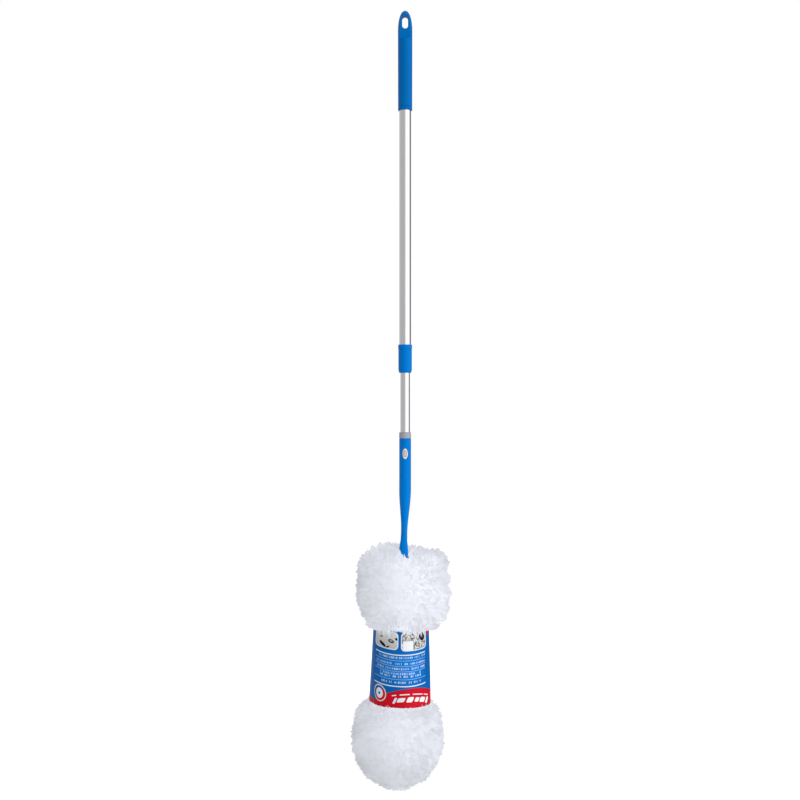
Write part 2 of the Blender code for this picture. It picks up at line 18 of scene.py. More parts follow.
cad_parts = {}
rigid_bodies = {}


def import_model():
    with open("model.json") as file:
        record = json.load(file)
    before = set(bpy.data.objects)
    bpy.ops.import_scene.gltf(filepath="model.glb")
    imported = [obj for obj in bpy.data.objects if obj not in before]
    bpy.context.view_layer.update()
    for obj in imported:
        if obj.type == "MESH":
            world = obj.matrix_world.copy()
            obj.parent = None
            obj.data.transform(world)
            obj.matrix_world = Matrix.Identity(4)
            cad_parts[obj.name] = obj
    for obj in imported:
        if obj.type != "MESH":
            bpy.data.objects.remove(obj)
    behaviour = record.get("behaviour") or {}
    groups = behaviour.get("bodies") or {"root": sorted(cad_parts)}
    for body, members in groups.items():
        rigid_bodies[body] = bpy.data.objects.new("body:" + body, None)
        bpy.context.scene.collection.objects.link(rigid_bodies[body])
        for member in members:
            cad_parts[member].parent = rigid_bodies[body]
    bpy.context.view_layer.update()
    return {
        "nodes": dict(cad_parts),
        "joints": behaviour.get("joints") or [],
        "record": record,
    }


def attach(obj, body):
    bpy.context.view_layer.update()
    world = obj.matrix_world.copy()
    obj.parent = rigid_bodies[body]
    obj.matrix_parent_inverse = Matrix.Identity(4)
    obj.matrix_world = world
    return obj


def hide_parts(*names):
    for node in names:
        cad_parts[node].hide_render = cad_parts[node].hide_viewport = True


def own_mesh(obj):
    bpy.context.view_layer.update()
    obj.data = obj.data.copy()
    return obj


# ---- camera ----
CAMERA_DISTANCE = 1.6
CAMERA_HEIGHT = -0.5157
CAMERA_X = -0.0069
VIEW_HALF_WIDTH = 0.5378
SENSOR = 36.0

# ---- head frame: it leans about the same point as in the model ----
PIVOT_Z = -0.6516

# ---- fibre ----
SEED = 20
CORE_INSET = 0.0085
CORE_LUMP = 0.0016
CORE_SIDES = 96
# The core is painted with the shade of strands near their roots
CORE_REACH = 0.25
LUMP_WAVES = 26
SWIRL_WAVES = 14
STRAND_R = 0.00036
ROOT_SINK = 0.0015
PIECES_PER_BALL = 3

# How much each strand's shading follows its tuft's, and how strongly the pile glows: light scatters in it
SOFTNESS = 0.90
SCATTER = 0.475
GLOW = (0.915, 0.935, 1.0, 1.0)

# Tufts: distance apart, strands in each, half-width at the root and at the tip, and length
Coat = namedtuple("Coat", "pitch strands spread gather length")
FUR = Coat(0.0052, 16, 0.0030, 0.0020, 0.0135)
SPIKES = Coat(0.0080, 12, 0.0022, 0.0006, 0.0168)

# ---- how the fibre lies at the top of the upper ball, in head coordinates ----
TILT_X = (-0.056, -0.042, -0.028, 0.0, 0.035, 0.055)
TILT_RISE = (-0.0065, -0.0012, 0.0024, 0.0, -0.0030, 0.0010)
PARTING_X = (-0.0105, -0.0061, 0.0043, 0.0072, 0.0110)
PARTING_DEPTH = (0.0, 0.0030, 0.0165, 0.0115, 0.0)
MOUTH_HALF = (0.0165, 0.0130)

# ---- tufts that stand round the handle's foot: the ring's half-axes, its depth and their length ----
MOUTH_TUFTS = 22
MOUTH_RING = (0.0170, 0.0150)
MOUTH_DEPTH = 0.0125
MOUTH_LENGTH = 0.0125

# ---- how far above its foot the upper ball is drawn up, and by what share ----
RIM_RISE = 0.018
RIM_SHARE = 0.42

# ---- strands over the card's top edge: longest, the locks that they hang in, and their roots ----
FRINGE_LENGTH = 0.036
FRINGE_LOCKS = 6
FRINGE_TURN = 0.28
FRINGE_PITCH = 0.0042
FRINGE_ROWS = 3
FRINGE_DROP = 0.003

# ---- tufts round the card's lower edge ----
COLLAR_PITCH = 0.0050
COLLAR_LENGTH = 0.0042
COLLAR_SKIPPED = 0.50

# ---- the upper ball's sides: how far they swell on the right, and are tucked in low on the left ----
BULGE = 0.0030
CHEEK = 0.0050
TUCK = 0.0045

# ---- lobes down the upper ball's right side ----
LOBE_DEPTH = 0.0022
LOBE_PITCH = 0.0213
LOBE_Z = -0.7523

# ---- how far above its end the lower ball is pressed flat, and what share of its height is left ----
FLAT_RISE = 0.020
FLAT_SHARE = 0.60

# ---- cloth pocket, as it was cut, and how it and its band are made ----
CLOTH_T = 0.0006
CLOTH_INSET = 0.0004
CLOTH_SIDES = 72
CLOTH_STEP = 0.003
WEAVE_SCALE = 238.85
ELASTIC_SCALE = 350.32

# ---- painted shade: the fibre greys a little from the top of the head to its end, which is farther from the light ----
LIT_TOP_Z = -0.720
SHADED_END_Z = -1.040

# ---- studio light, as strength at each direction in degrees round the pole ----
SOFT_BOXES = (
    (-180, 0.75), (-130, 0.75), (-100, 0.54), (-2, 0.54), (18, 1.56), (78, 1.56),
    (94, 0.75), (122, 0.10), (150, 0.18), (180, 0.75),
)
SOFT_HEIGHTS = ((-1.0, 0.60), (-0.3, 1.00), (0.3, 1.00), (1.0, 1.10))
WHITE = (1.0, 1.0, 1.0, 1.0)
FLOOR_RADIUS = 9.0
FLOOR_Z = -1.75

# ---- card label ----
CARD_GAP = 0.0003
CARD_T = 0.0005
CARD_SKEW = 0.0017
CARD_LAP = math.radians(9)
CARD_LAP_RISE = 0.0009
CARD_COLUMNS, CARD_ROWS = 180, 36
PRINT_RADIUS = 0.0393
PRINT_BOW = 0.0064


# ---------------------------------------------------------------- node helper


class Tree:
    """Short calls that add and link the nodes of one tree."""

    def __init__(self, tree):
        self.tree = tree

    def add(self, kind, **settings):
        node = self.tree.nodes.new(kind)
        for key, value in settings.items():
            setattr(node, key, value)
        return node

    def plug(self, socket, value):
        """Links a socket to another, or gives it a plain value."""
        if isinstance(value, bpy.types.NodeSocket):
            self.tree.links.new(value, socket)
        else:
            socket.default_value = value

    def math(self, operation, *values, clamp=False):
        node = self.add("ShaderNodeMath", operation=operation, use_clamp=clamp)
        for socket, value in zip(node.inputs, values):
            self.plug(socket, value)
        return node.outputs["Value"]

    def times(self, first, second):
        return self.math("MULTIPLY", first, second)

    def plus(self, first, second):
        return self.math("ADD", first, second)

    def minus(self, first, second):
        return self.math("SUBTRACT", first, second)

    def ramp(self, value, low, high, start=0.0, end=1.0):
        """A value between start and end becomes one between low and high."""
        node = self.add("ShaderNodeMapRange")
        given = {"Value": value, "From Min": start, "From Max": end, "To Min": low, "To Max": high}
        for key, setting in given.items():
            self.plug(node.inputs[key], setting)
        return node.outputs["Result"]


class Nodes(Tree):
    """The nodes of one material."""

    def __init__(self, name):
        self.material = bpy.data.materials.new(name)
        self.material.use_nodes = True
        super().__init__(self.material.node_tree)
        self.shader = self.tree.nodes["Principled BSDF"]
        self.coords = None

    def set(self, **values):
        """Plain values or links for the shader, by socket name with _ for a space."""
        for key, value in values.items():
            self.plug(self.shader.inputs[key.replace("_", " ")], value)

    def place(self, scale=(1.0, 1.0, 1.0)):
        """Object coordinates in metres, stretched by a scale."""
        if self.coords is None:
            self.coords = self.add("ShaderNodeTexCoord").outputs["Object"]
        mapping = self.add("ShaderNodeMapping")
        self.plug(mapping.inputs["Vector"], self.coords)
        mapping.inputs["Scale"].default_value = scale
        return mapping.outputs["Vector"]

    def noise(self, scale, detail=3.0, stretch=(1.0, 1.0, 1.0)):
        node = self.add("ShaderNodeTexNoise")
        self.plug(node.inputs["Vector"], self.place(stretch))
        node.inputs["Scale"].default_value = scale
        node.inputs["Detail"].default_value = detail
        return node.outputs["Fac"]

    def mix(self, factor, first, second):
        """Between two colours, each a link or three numbers."""
        node = self.add("ShaderNodeMix", data_type="RGBA")
        self.plug(node.inputs["Factor"], factor)
        for key, colour in (("A", first), ("B", second)):
            linked = isinstance(colour, bpy.types.NodeSocket)
            self.plug(node.inputs[key], colour if linked else (*colour, 1.0))
        return node.outputs["Result"]

    def bump(self, height, strength, distance):
        node = self.add("ShaderNodeBump")
        self.plug(node.inputs["Height"], height)
        node.inputs["Strength"].default_value = strength
        node.inputs["Distance"].default_value = distance
        self.plug(self.shader.inputs["Normal"], node.outputs["Normal"])


# ---------------------------------------------------------------- plain materials


def scaled(colour, share):
    return tuple(channel * share for channel in colour)


def moulded_plastic(name, colour, roughness, shade=0.10, tint=(1.0, 1.0, 1.0)):
    """Injection-moulded plastic: a fine spark-eroded grain, faint flow marks and handling shine."""
    nodes = Nodes(name)
    flow = nodes.noise(38.0, 4.0, stretch=(1.0, 1.0, 0.35))
    lighter = tuple(min(channel, 1.0) for channel in scaled(colour, 1 + shade))
    nodes.set(Base_Color=nodes.mix(flow, scaled(colour, 1 - shade), lighter))
    fine = nodes.noise(2600.0, 2.0)
    worn = nodes.noise(90.0, 5.0)
    rough = nodes.ramp(worn, roughness - 0.07, roughness + 0.08, 0.3, 0.7)
    nodes.set(Roughness=rough)
    nodes.set(Specular_IOR_Level=0.25, Specular_Tint=(*tint, 1.0))
    nodes.bump(fine, 0.10, 0.0001)
    return nodes.material


def anodised_aluminium():
    """Drawn tube: fine streaks along its length under a satin anodised skin."""
    nodes = Nodes("anodised_aluminium")
    streaks = nodes.noise(900.0, 3.0, stretch=(1.0, 1.0, 0.012))
    cloud = nodes.noise(60.0, 3.0, stretch=(1.0, 1.0, 0.2))
    fine, broad = nodes.times(streaks, 0.6), nodes.times(cloud, 0.4)
    tone = nodes.plus(fine, broad)
    nodes.set(Base_Color=nodes.mix(tone, (0.73, 0.73, 0.755), (0.82, 0.82, 0.845)))
    nodes.set(Metallic=1.0, Roughness=nodes.ramp(streaks, 0.18, 0.27, 0.3, 0.7))
    nodes.bump(streaks, 0.05, 0.00005)
    return nodes.material


def bright_steel():
    nodes = Nodes("spring_steel")
    streaks = nodes.noise(700.0, 3.0, stretch=(1.0, 1.0, 0.03))
    nodes.set(Base_Color=nodes.mix(streaks, (0.42, 0.42, 0.43), (0.66, 0.66, 0.67)))
    nodes.set(Metallic=1.0, Roughness=nodes.ramp(streaks, 0.22, 0.40))
    nodes.bump(streaks, 0.08, 0.00005)
    return nodes.material


def microfibre(name, colour, shade):
    """Split microfibre: each strand has its own tint, and is painted a little darker at its root: painted
    shade deep in the pile.

    The faint glow stands for light that scatters on inside the pile, which solid strands would stop.
    """
    nodes = Nodes(name)
    island = nodes.add("ShaderNodeNewGeometry").outputs["Random Per Island"]
    reach = nodes.add("ShaderNodeAttribute", attribute_name="reach").outputs["Fac"]
    cool = (*scaled(colour[:2], 0.96), colour[2])
    tint = nodes.mix(island, cool, colour)
    # Painted shade: strands are darker towards their roots, where shade falls deep in the pile
    root_shade_fac = nodes.ramp(reach, 0.0, 1.0, 0.0, 0.65)
    root_shaded_tint = nodes.mix(root_shade_fac, scaled(colour, shade), tint)
    # Painted shade: the fibre darkens towards the head's end, which is farther from the light
    height = nodes.add("ShaderNodeSeparateXYZ")
    nodes.plug(height.inputs["Vector"], nodes.place())
    far_shade_fac = nodes.ramp(height.outputs["Z"], 0.79, 1.10, SHADED_END_Z, LIT_TOP_Z)
    nodes.set(Base_Color=nodes.mix(far_shade_fac, (0.0, 0.0, 0.0), root_shaded_tint), Roughness=0.85)
    nodes.set(Specular_IOR_Level=0.10, Sheen_Weight=0.25, Sheen_Roughness=0.5)
    nodes.set(Emission_Color=GLOW, Emission_Strength=SCATTER)
    return nodes.material


def woven_cloth(name, colour, scale):
    """Plain weave: two sets of thread waves, with a little slub."""
    nodes = Nodes(name)
    across = nodes.add("ShaderNodeTexWave", wave_type="BANDS", bands_direction="Z")
    along = nodes.add("ShaderNodeTexWave", wave_type="BANDS", bands_direction="X")
    for wave in (across, along):
        nodes.plug(wave.inputs["Vector"], nodes.place())
        wave.inputs["Scale"].default_value = scale
        wave.inputs["Distortion"].default_value = 0.4
    weave = nodes.math("MAXIMUM", across.outputs["Fac"], along.outputs["Fac"])
    slub = nodes.noise(240.0, 4.0)
    worn = nodes.mix(nodes.times(weave, slub), scaled(colour, 0.82), colour)
    nodes.set(Base_Color=worn, Roughness=0.92)
    nodes.set(Sheen_Weight=0.2)
    nodes.bump(weave, 0.5, 0.0002)
    return nodes.material


# ---------------------------------------------------------------- printed card


class Print(Nodes):
    """Flat inks laid over each other.

    u and v are millimetres on the card, from its front centre and foot. A mask is 1 where it prints.
    """

    SOFT = 0.12
    DASH_GAP = 0.25

    def __init__(self, name):
        super().__init__(name)
        uv = self.add("ShaderNodeUVMap", uv_map="card").outputs["UV"]
        split = self.add("ShaderNodeSeparateXYZ")
        self.plug(split.inputs["Vector"], uv)
        self.u = self.times(split.outputs["X"], 1000.0)
        self.v = self.times(split.outputs["Y"], 1000.0)
        self.colour = None

    def below(self, value, limit):
        """1 where the value is under the limit, with a narrow soft edge."""
        return self.ramp(value, 1.0, 0.0, limit - self.SOFT, limit + self.SOFT)

    def above(self, value, limit):
        return self.ramp(value, 0.0, 1.0, limit - self.SOFT, limit + self.SOFT)

    def both(self, first, second):
        return self.times(first, second)

    def length(self, along, across):
        return self.math("SQRT", self.plus(self.times(along, along), self.times(across, across)))

    def rounded(self, centre, size, corner, u=None, v=None):
        """A box with round corners; the corner radius may be half its height."""
        away_u = self.math("ABSOLUTE", self.minus(u or self.u, centre[0]))
        away_v = self.math("ABSOLUTE", self.minus(v or self.v, centre[1]))
        over_u = self.math("MAXIMUM", self.minus(away_u, size[0] / 2 - corner), 0.0)
        over_v = self.math("MAXIMUM", self.minus(away_v, size[1] / 2 - corner), 0.0)
        return self.below(self.length(over_u, over_v), corner)

    def oval(self, centre, size, turn=0.0):
        """An ellipse, turned by degrees."""
        c, s = math.cos(math.radians(turn)), math.sin(math.radians(turn))
        away_u = self.minus(self.u, centre[0])
        away_v = self.minus(self.v, centre[1])
        along = self.plus(self.times(away_u, c), self.times(away_v, s))
        across = self.minus(self.times(away_v, c), self.times(away_u, s))
        along = self.math("DIVIDE", along, size[0] / 2)
        across = self.math("DIVIDE", across, size[1] / 2)
        soft = 2 * self.SOFT / min(size)
        return self.ramp(self.length(along, across), 1.0, 0.0, 1.0 - soft, 1.0 + soft)

    def ink(self, mask, colour):
        self.colour = self.mix(mask, self.colour, colour)

    def dashes(self, centre, width, height, count, seed):
        """A row of plain strokes of uneven width and height, which stands for a line of small print."""
        cell = width / count
        start = centre[0] - width / 2
        step = self.math("DIVIDE", self.minus(self.u, start), cell)
        index = self.math("FLOOR", step)
        within = self.math("FRACT", step)
        noise = self.add("ShaderNodeTexWhiteNoise", noise_dimensions="1D")
        self.plug(noise.inputs["W"], self.plus(index, seed * 37.3))
        split = self.add("ShaderNodeSeparateColor")
        self.plug(split.inputs["Color"], noise.outputs["Color"])
        filled = self.ramp(split.outputs["Red"], 0.42, 1.0)
        past = self.minus(within, filled)
        stroke = self.both(self.above(within, self.DASH_GAP), self.math("LESS_THAN", past, 0.0))
        half = self.ramp(split.outputs["Green"], height * 0.34, height * 0.5)
        away = self.math("ABSOLUTE", self.minus(self.v, centre[1]))
        tall = self.math("LESS_THAN", away, half)
        inside = self.rounded(centre, (width, height * 1.2), 0.1)
        spaces = self.math("GREATER_THAN", split.outputs["Blue"], 0.16)
        return self.both(self.both(stroke, tall), self.both(inside, spaces))


INK_BLUE = (0.0005, 0.124, 0.450)
INK_MID = (0.001, 0.215, 0.690)
INK_RED = (0.620, 0.006, 0.020)
INK_WHITE = (0.860, 0.900, 0.930)
INK_CREAM = (0.800, 0.560, 0.420)
INK_BLACK = (0.010, 0.012, 0.014)
INK_GREY = (0.480, 0.490, 0.500)
INK_SAND = (0.560, 0.545, 0.530)
INK_STONE = (0.740, 0.750, 0.770)
INK_CHARCOAL = (0.090, 0.100, 0.110)
INK_CHALK = (0.740, 0.740, 0.700)

TEXT_ROWS = (71.6, 63.8, 57.2, 50.8, 47.2, 39.5)
THIN_RULES = (67.8, 60.6, 53.8, 43.4)
THICK_RULES = (75.2, 34.4)
COLUMN_U = (-41.0, 38.5)
BADGE_U, BADGE_V, BADGE_R = -29.5, 21.8, 10.9
PANEL_CORNER, PANEL_BORDER = 5.4, 1.2


def print_ground(card):
    """Blue ground with a lighter column."""
    card.colour = card.mix(card.noise(30.0, 2.0), INK_BLUE, scaled(INK_BLUE, 1.06))
    half = (COLUMN_U[1] - COLUMN_U[0]) / 2
    across = card.math("DIVIDE", card.minus(card.u, COLUMN_U[0] + half), half)
    glow = card.math("SUBTRACT", 1.0, card.times(across, across), clamp=True)
    up = card.both(card.ramp(card.v, 0.0, 1.0, 30.0, 48.0), card.ramp(card.v, 1.0, 0.0, 66.0, 84.0))
    card.ink(card.both(card.ramp(glow, 0.0, 1.0, 0.0, 0.7), up), INK_MID)


def wave_height(card, top, centre, fall):
    """A shallow arch over the card, top millimetres up at its centre."""
    away = card.minus(card.u, centre)
    return card.minus(top, card.times(card.times(away, away), fall))


def print_wave(card):
    """The red wave at the foot, with a row of plain slanted blocks and a row of bars over it."""
    crest = card.math("MAXIMUM", wave_height(card, 31.4, 14.0, 0.0076), 9.0)
    over = card.minus(card.v, crest)
    card.ink(card.below(over, 0.0), INK_RED)
    arc = wave_height(card, 17.2, 9.0, 0.0062)
    rise = card.minus(card.v, arc)
    slanted = card.minus(card.u, card.times(rise, 0.45))
    blocks = (
        (-7.0, 3.4, 7.4),
        (1.0, 9.4, 5.4),
        (12.6, 8.2, 6.8),
        (22.6, 6.4, 5.6),
        (31.8, 8.6, 6.6),
        (40.4, 4.0, 8.6),
    )
    for centre, width, height in blocks:
        card.ink(card.rounded((centre, 0.0), (width, height), 1.7, u=slanted, v=rise), INK_WHITE)
    for centre, width in ((-8.0, 6.0), (5.5, 13.0), (24.0, 16.0), (39.0, 9.0)):
        card.ink(card.rounded((centre, 6.9), (width, 1.3), 0.6, v=rise), INK_WHITE)


def print_back(card):
    """A pale panel with rows of plain strokes behind, where care notes would be."""
    centre = (-88.0, 56.0)
    card.ink(card.rounded(centre, (46.0, 58.0), 4.0), INK_WHITE)
    for number, rise in enumerate((22.0, 14.5, 7.0, -0.5, -8.0, -15.5)):
        strokes = card.dashes((centre[0], centre[1] + rise), 38.0, 2.6, 22, number + 11)
        card.ink(strokes, INK_BLUE)
    for rise in (26.0, -21.0):
        card.ink(card.rounded((centre[0], centre[1] + rise), (40.0, 0.7), 0.3), INK_RED)


def print_badge(card):
    """Plain concentric rings, the ring's halves in two inks."""
    centre = (BADGE_U, BADGE_V)
    card.ink(card.oval(centre, (2 * BADGE_R, 2 * BADGE_R)), INK_CREAM)
    card.ink(card.oval(centre, (2 * BADGE_R - 1.8, 2 * BADGE_R - 1.8)), INK_WHITE)
    ring = card.oval(centre, (2 * BADGE_R - 3.0, 2 * BADGE_R - 3.0))
    card.ink(ring, INK_RED)
    away_u = card.minus(card.u, BADGE_U)
    away_v = card.minus(card.v, BADGE_V)
    card.ink(card.both(ring, card.above(card.minus(away_v, away_u), 0.0)), INK_BLUE)
    card.ink(card.oval(centre, (12.0, 13.4)), INK_WHITE)
    card.ink(card.oval(centre, (3.6, 3.6)), INK_BLUE)


def print_column(card):
    """Rules and rows of plain strokes where small print would be."""
    middle = sum(COLUMN_U) / 2
    width = COLUMN_U[1] - COLUMN_U[0]
    for height in THICK_RULES:
        card.ink(card.rounded((middle, height), (width, 1.25), 0.6), INK_WHITE)
    pale = tuple(0.45 * w + 0.55 * b for w, b in zip(INK_WHITE, INK_MID))
    for height in THIN_RULES:
        card.ink(card.rounded((middle, height), (width, 0.5), 0.2), pale)
    bright = tuple(0.72 * w + 0.28 * b for w, b in zip(INK_WHITE, INK_MID))
    for number, height in enumerate(TEXT_ROWS):
        share = 0.74 if number > 2 else 0.96
        strokes = card.dashes((middle + 1.0, height), width * share, 2.9, int(34 * share), number + 1)
        card.ink(strokes, bright)


def framed_panel(card, centre, size):
    """A rounded panel with a white border. Returns the mask of its inside."""
    card.ink(card.rounded(centre, size, PANEL_CORNER), INK_WHITE)
    inside = (size[0] - 2 * PANEL_BORDER, size[1] - 2 * PANEL_BORDER)
    return card.rounded(centre, inside, PANEL_CORNER - PANEL_BORDER)


def print_panels(card):
    """Two picture panels with plain abstract shapes in place of pictures."""
    print_stone_panel(card)
    print_speckled_panel(card)


def print_stone_panel(card):
    inside = framed_panel(card, (-23.6, 93.0), (39.6, 23.0))
    rise = card.ramp(card.v, 0.0, 1.0, 82.0, 100.0)
    card.ink(inside, card.mix(rise, INK_SAND, INK_STONE))
    ovals = (
        ((-14.0, 92.5), (9.0, 4.6), -12, INK_BLACK),
        ((-28.0, 86.6), (13.0, 4.4), -24, INK_BLACK),
        ((-19.0, 84.4), (6.0, 2.0), 30, INK_BLACK),
        ((-6.4, 95.6), (4.4, 3.2), -35, INK_BLACK),
        ((-30.0, 96.0), (7.0, 1.4), 10, INK_BLACK),
        ((-14.0, 92.8), (5.2, 1.8), -12, INK_GREY),
    )
    for centre, size, turn, ink in ovals:
        card.ink(card.both(inside, card.oval(centre, size, turn)), ink)


def print_speckled_panel(card):
    inside = framed_panel(card, (20.6, 92.4), (41.4, 24.4))
    speckle = card.ramp(card.noise(560.0, 2.0), 0.0, 1.0, 0.46, 0.55)
    card.ink(inside, card.mix(speckle, INK_CHARCOAL, INK_CHALK))
    card.ink(card.both(inside, card.rounded((9.9, 87.2), (14.6, 12.0), 1.2)), INK_WHITE)
    card.ink(card.both(inside, card.oval((9.0, 94.4), (11.0, 2.4), 8)), INK_GREY)
    card.ink(card.both(inside, card.oval((31.8, 97.6), (10.0, 13.5), 30)), INK_BLACK)
    card.ink(card.rounded((46.5, 99.4), (7.0, 8.0), 0.8), INK_RED)
    card.ink(card.both(inside, card.rounded((28.0, 104.0), (16.0, 4.4), 0.8)), INK_RED)


def label_card():
    """Glossy printed card, a little rubbed, with the bare board at its cut edge."""
    card = Print("label_card")
    print_ground(card)
    print_panels(card)
    print_column(card)
    print_wave(card)
    print_badge(card)
    print_back(card)
    rub = card.noise(160.0, 5.0)
    card.set(Base_Color=card.colour, Roughness=card.ramp(rub, 0.26, 0.42, 0.3, 0.7))
    card.set(Specular_IOR_Level=0.05, Coat_Weight=0.01, Coat_Roughness=0.2)
    card.bump(card.noise(55.0, 3.0), 0.10, 0.0004)
    return card.material


def card_board():
    nodes = Nodes("card_board")
    fibres = nodes.noise(900.0, 4.0, stretch=(1.0, 1.0, 3.0))
    nodes.set(Base_Color=nodes.mix(fibres, (0.52, 0.49, 0.44), (0.74, 0.72, 0.68)), Roughness=0.85)
    nodes.bump(fibres, 0.2, 0.0001)
    return nodes.material


# ---------------------------------------------------------------- head geometry


def head_matrix(frame):
    """Places head coordinates, whose heights are pole heights, on the leaning axis."""
    pull = next(j for j in frame["joints"] if j["name"] == "sleeve_pull")
    lean = math.atan2(-pull["axis"][0], -pull["axis"][2])
    pivot = Vector((0.0, 0.0, PIVOT_Z))
    return Matrix.Translation(pivot) @ Matrix.Rotation(lean, 4, "Y") @ Matrix.Translation(-pivot)


class Outline:
    """The outer outline of a turned CAD solid, as radii along its height in head coordinates."""

    def __init__(self, node, to_head):
        points = np.array([to_head @ v.co for v in node.data.vertices])
        heights = np.round(points[:, 2], 4)
        radii = np.hypot(points[:, 0], points[:, 1])
        pairs = sorted({h: radii[heights == h].max() for h in heights}.items())
        self.z = np.array([h for h, _ in pairs])
        self.r = np.array([r for _, r in pairs])

    def radius(self, z):
        return np.interp(z, self.z, self.r)


def add_mesh(name, verts, faces, material, place):
    mesh = bpy.data.meshes.new(name)
    mesh.from_pydata(verts, [], faces)
    mesh.transform(place)
    mesh.materials.append(material)
    mesh.shade_smooth()
    made = bpy.data.objects.new(name, mesh)
    bpy.context.collection.objects.link(made)
    return made


def ring_faces(rows, sides):
    """Quads between rows of points that each go once round."""
    faces = []
    for row in range(rows):
        for side in range(sides):
            near, far = row * sides + side, row * sides + (side + 1) % sides
            faces.append((near, near + sides, far + sides, far))
    return faces


def mark_reach(made, values):
    """How far along its strand each point is, for the fibre's painted root shade."""
    attribute = made.data.attributes.new("reach", "FLOAT", "POINT")
    attribute.data.foreach_set("value", np.asarray(values, np.float32))


def smoothstep(start, end, value):
    t = np.clip((value - start) / (end - start), 0.0, 1.0)
    return t * t * (3 - 2 * t)


def lumps(angles, heights, rng):
    """Smooth seeded lumps round a body: a sum of waves, mostly between -1 and 1."""
    total = np.zeros(np.broadcast(angles, heights).shape)
    for _ in range(LUMP_WAVES):
        turns = rng.integers(0, 9)
        rise = rng.uniform(-260.0, 260.0)
        total = total + np.sin(turns * angles + rise * heights + rng.uniform(0, 2 * math.pi))
    return total / math.sqrt(LUMP_WAVES)


def make_core(name, profile, rng, material, place, lie=None):
    """Lumpy felted body under the tufts, from (radius, height) points, closed at both ends.

    lie(points) moves them to how the pile lies.
    """
    angles = np.linspace(0, 2 * math.pi, CORE_SIDES, endpoint=False)
    radii = np.array([r for r, _ in profile])[:, None]
    heights = np.array([z for _, z in profile])[:, None]
    swell = CORE_LUMP * np.tanh(lumps(angles[None, :], heights, rng))
    around = radii + swell * np.minimum(radii / 0.03, 1.0)
    x = around * np.cos(angles)
    y = around * np.sin(angles)
    z = np.broadcast_to(heights, x.shape)
    verts = np.stack([x, y, z], axis=-1).reshape(-1, 3)
    if lie:
        verts = lie(verts)
    faces = ring_faces(len(profile) - 1, CORE_SIDES)
    faces.append(tuple(range(CORE_SIDES)))
    faces.append(tuple(reversed(range(len(verts) - CORE_SIDES, len(verts)))))
    core = add_mesh(name, verts.tolist(), faces, material, place)
    # The core gets the painted root shade of strands near their roots
    mark_reach(core, np.full(len(verts), CORE_REACH))
    return core


# ---------------------------------------------------------------- strands


def unit(vectors):
    return vectors / np.maximum(np.linalg.norm(vectors, axis=-1, keepdims=True), 1e-9)


def upwards(height):
    return np.array([0.0, 0.0, height])


def compass(angle):
    """Level unit vectors outwards and around, at an angle round the head."""
    c, s = math.cos(angle), math.sin(angle)
    return np.array([c, s, 0.0]), np.array([-s, c, 0.0])


